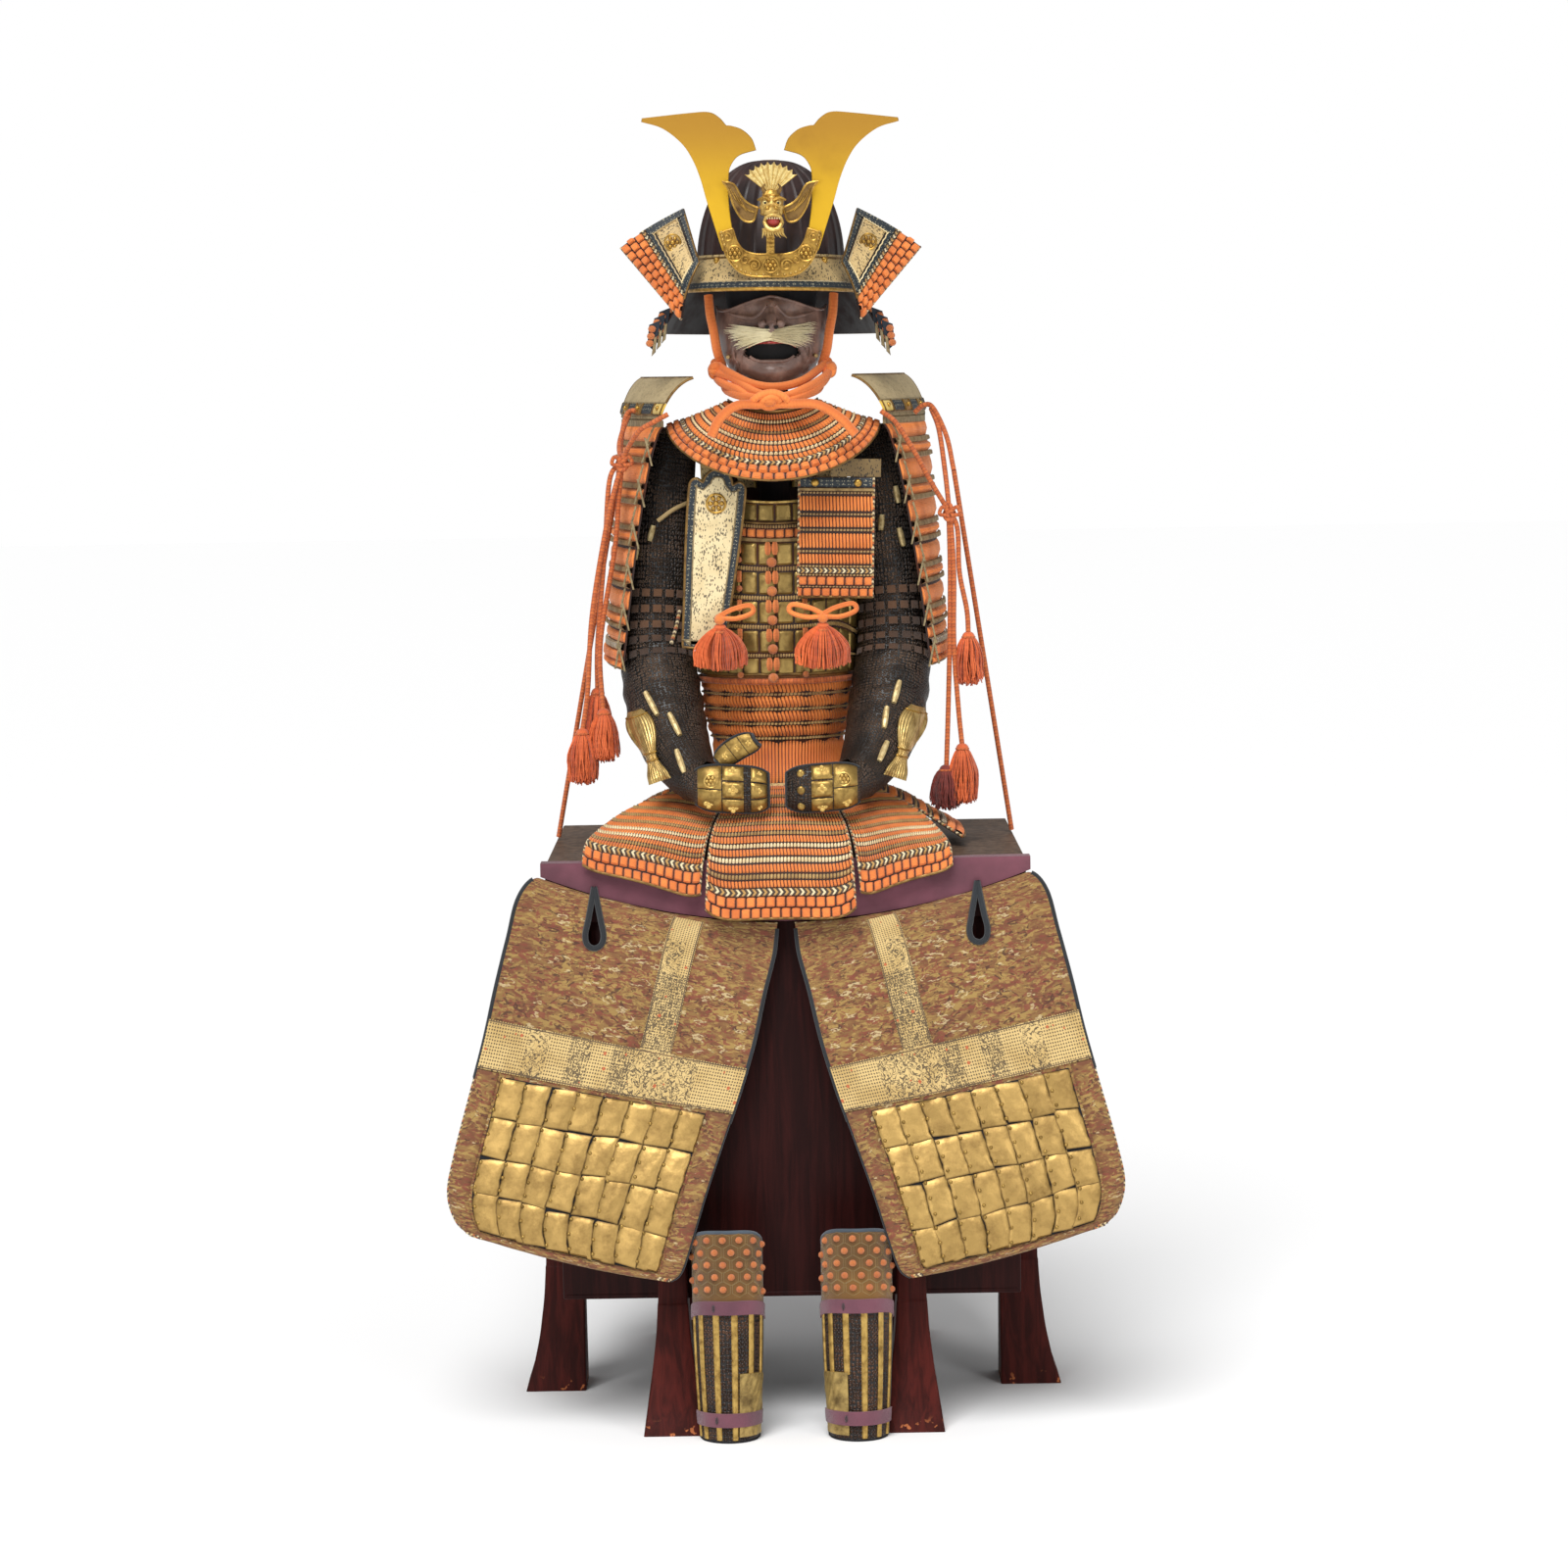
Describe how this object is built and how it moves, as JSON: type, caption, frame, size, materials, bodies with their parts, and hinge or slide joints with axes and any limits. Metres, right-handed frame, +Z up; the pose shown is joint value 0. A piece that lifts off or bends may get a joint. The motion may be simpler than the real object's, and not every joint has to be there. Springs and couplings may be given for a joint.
{
  "type": "samurai armour on its storage chest and inner stand",
  "caption": "Full samurai armour with helmet, mask, cuirass, sleeves, skirt, thigh and shin guards, seated on its legged storage chest.",
  "frame": {"origin": "middle of the footprint of the whole object, on the floor", "axes": "+Z up, -Y is the front that the armour faces, +X is the viewer's right from the front"},
  "size_m": [0.9298, 0.656, 1.822],
  "materials": {
    "chest_lacquer": "worn maroon lacquer",
    "worn_wood": "worn bare wood",
    "stand_wood": "dark cloth over wood",
    "black_lacquer": "dark lacquer",
    "russet_iron": "russet lacquered iron",
    "hair": "pale bristle",
    "gilt_scales": "aged gilt",
    "stencilled_leather": "printed leather",
    "mail_cloth": "mail on dark cloth",
    "brocade": "woven brocade",
    "belt_cloth": "plain woven cloth",
    "orange_lacing": "flat silk braid"
  },
  "bodies": {
    "root": {"helmet_bowl": "russet_iron", "helmet_peak": "stencilled_leather", "neck_guard": "black_lacquer", "turnback_left": "stencilled_leather", "turnback_right": "stencilled_leather", "crest_horn_left": "gilt_scales", "crest_horn_right": "gilt_scales", "crest_base": "gilt_scales", "dragon_crest": "gilt_scales", "armour_stand": "stand_wood", "face_mask": "russet_iron", "moustache": "hair", "throat_guard": "orange_lacing", "chin_cord_left": "orange_lacing", "chin_cord_right": "orange_lacing", "chin_cord_under": "orange_lacing", "cuirass_front": "gilt_scales", "cuirass_back": "orange_lacing", "cuirass_waist": "orange_lacing", "armpit_plate_leather": "stencilled_leather", "armpit_plate_laced": "orange_lacing", "chest_tassel_left": "orange_lacing", "chest_tassel_right": "orange_lacing", "skirt_front": "orange_lacing", "skirt_front_side_left": "orange_lacing", "skirt_front_side_right": "orange_lacing", "skirt_side_left": "orange_lacing", "skirt_side_right": "orange_lacing", "skirt_back_left": "orange_lacing", "skirt_back_right": "orange_lacing", "shoulder_guard_left": "orange_lacing", "shoulder_guard_right": "orange_lacing", "shoulder_guard_cap_left": "stencilled_leather", "shoulder_guard_cap_right": "stencilled_leather", "sleeve_left": "mail_cloth", "sleeve_right": "mail_cloth", "hand_guard_left": "gilt_scales", "hand_guard_right": "gilt_scales", "thumb_guard_left": "gilt_scales", "side_cords_left": "orange_lacing", "side_cords_right": "orange_lacing", "stay_cord_left": "orange_lacing", "stay_cord_right": "orange_lacing", "chest_body": "chest_lacquer", "chest_lid": "worn_wood", "chest_leg_1": "chest_lacquer", "chest_leg_2": "chest_lacquer", "chest_leg_3": "chest_lacquer", "chest_leg_4": "chest_lacquer", "chest_leg_5": "chest_lacquer", "chest_leg_6": "chest_lacquer", "thigh_belt": "belt_cloth", "thigh_panel_left": "brocade", "thigh_panel_right": "brocade", "thigh_leather_left": "stencilled_leather", "thigh_leather_right": "stencilled_leather", "thigh_plates_left": "gilt_scales", "thigh_plates_right": "gilt_scales", "shin_guard_left": "mail_cloth", "shin_guard_right": "mail_cloth"}
  },
  "joints": []
}
